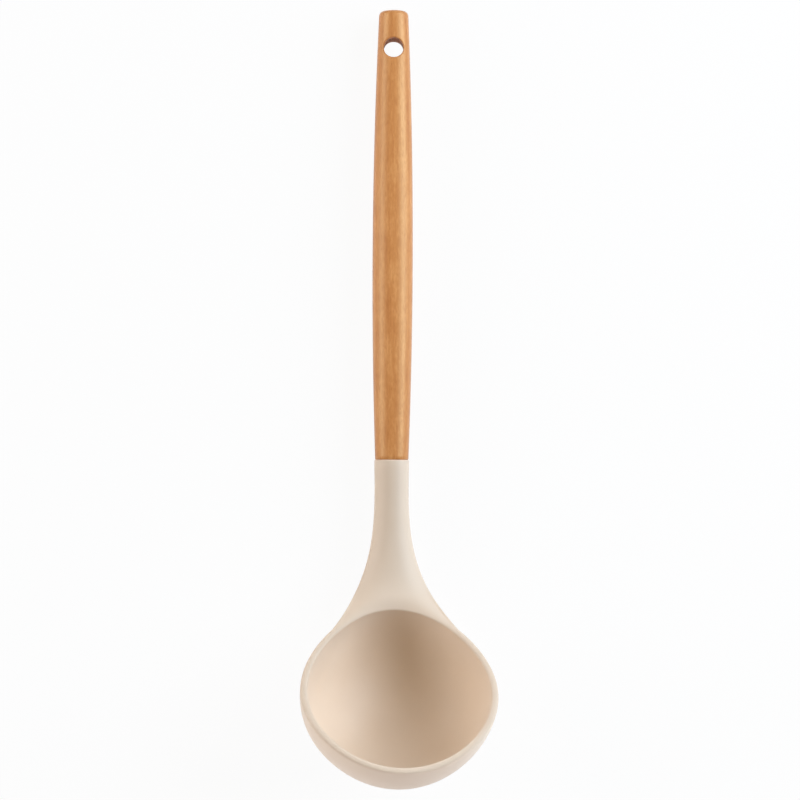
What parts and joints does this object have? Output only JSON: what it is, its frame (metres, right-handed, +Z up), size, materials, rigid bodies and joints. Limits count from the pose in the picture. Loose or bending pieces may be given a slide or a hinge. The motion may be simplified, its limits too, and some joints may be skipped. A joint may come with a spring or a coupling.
{
  "type": "soup ladle",
  "caption": "Kitchen ladle: a deep round silicone bowl with a rolled lip, tilted against a flared round neck, on a slim barrel-shaped wooden handle with a hanging hole across its end.",
  "frame": {"origin": "middle of the ladle's box, on the surface that it lies on", "axes": "+Y along the handle towards its free end, +Z up out of the surface, the mirror plane at X = 0"},
  "size_m": [0.0802, 0.3206, 0.0633],
  "materials": {
    "beech": "fine sanded and oiled, satin",
    "silicone": "moulded, matte",
    "nylon": "moulded",
    "steel": "turned",
    "epoxy": "cured clear amber"
  },
  "bodies": {
    "root": {"wood_handle": "beech", "silicone_head": "silicone", "nylon_core": "nylon", "steel_tang": "steel", "epoxy_bond": "epoxy"}
  },
  "joints": []
}
